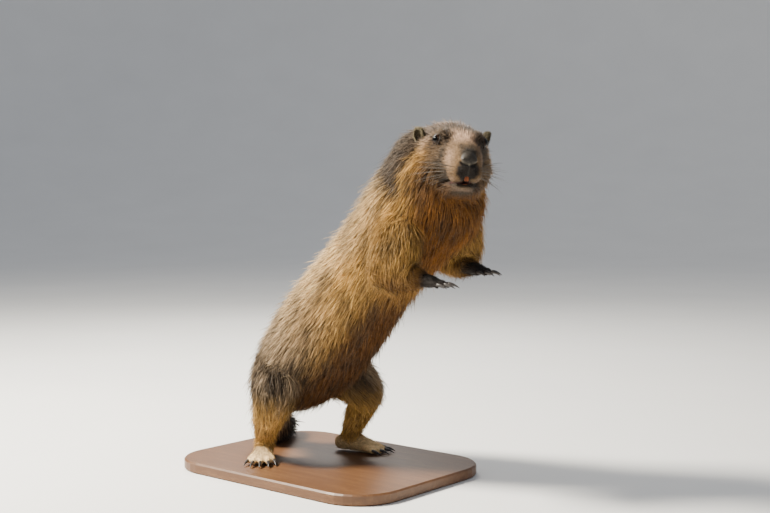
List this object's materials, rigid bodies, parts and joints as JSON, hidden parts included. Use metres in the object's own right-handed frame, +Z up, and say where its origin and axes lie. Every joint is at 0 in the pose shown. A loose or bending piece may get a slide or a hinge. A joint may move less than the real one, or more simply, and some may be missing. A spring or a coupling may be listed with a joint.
{
  "type": "alpine marmot model",
  "caption": "Life-size still model of an alpine marmot, reared up with its forearms held out level, on a flat display base.",
  "frame": {"origin": "centre of the base board's underside", "axes": "+Z up; +X the way the trunk faces, over its forepaws; +Y to the animal's left"},
  "size_m": [0.4493, 0.262, 0.4516],
  "materials": {
    "base_board": "oiled brown wood board with rounded corners",
    "coat_body": "dense fur, grizzled grey-brown over the back and rump, golden tan on the flanks",
    "coat_neck": "long fur, orange-yellow at the throat, dark grey-brown on the nape",
    "coat_head": "short fur, grey-brown crown, tan muzzle, pale chin, dark grey nose",
    "coat_ear": "short grey-brown fur, bare dark cup",
    "coat_limb": "golden yellow-brown fur with darker streaks",
    "coat_tail": "bushy brown fur, darker to the tip",
    "paw_fore": "short dark brown fur, black claws",
    "paw_hind": "short yellow-cream fur, dark claws",
    "eye": "wet black-brown eye"
  },
  "bodies": {
    "root": {"stand_base": "base_board", "torso": "coat_body", "neck": "coat_neck", "head": "coat_head", "lower_jaw": "coat_head", "ear_left": "coat_ear", "ear_right": "coat_ear", "eye_left": "eye", "eye_right": "eye", "upper_arm_left": "coat_limb", "upper_arm_right": "coat_limb", "forearm_left": "coat_limb", "forearm_right": "coat_limb", "forepaw_left": "paw_fore", "forepaw_right": "paw_fore", "thigh_left": "coat_limb", "thigh_right": "coat_limb", "shank_left": "coat_limb", "shank_right": "coat_limb", "hind_foot_left": "paw_hind", "hind_foot_right": "paw_hind", "tail_root": "coat_tail", "tail_end": "coat_tail"}
  },
  "joints": []
}
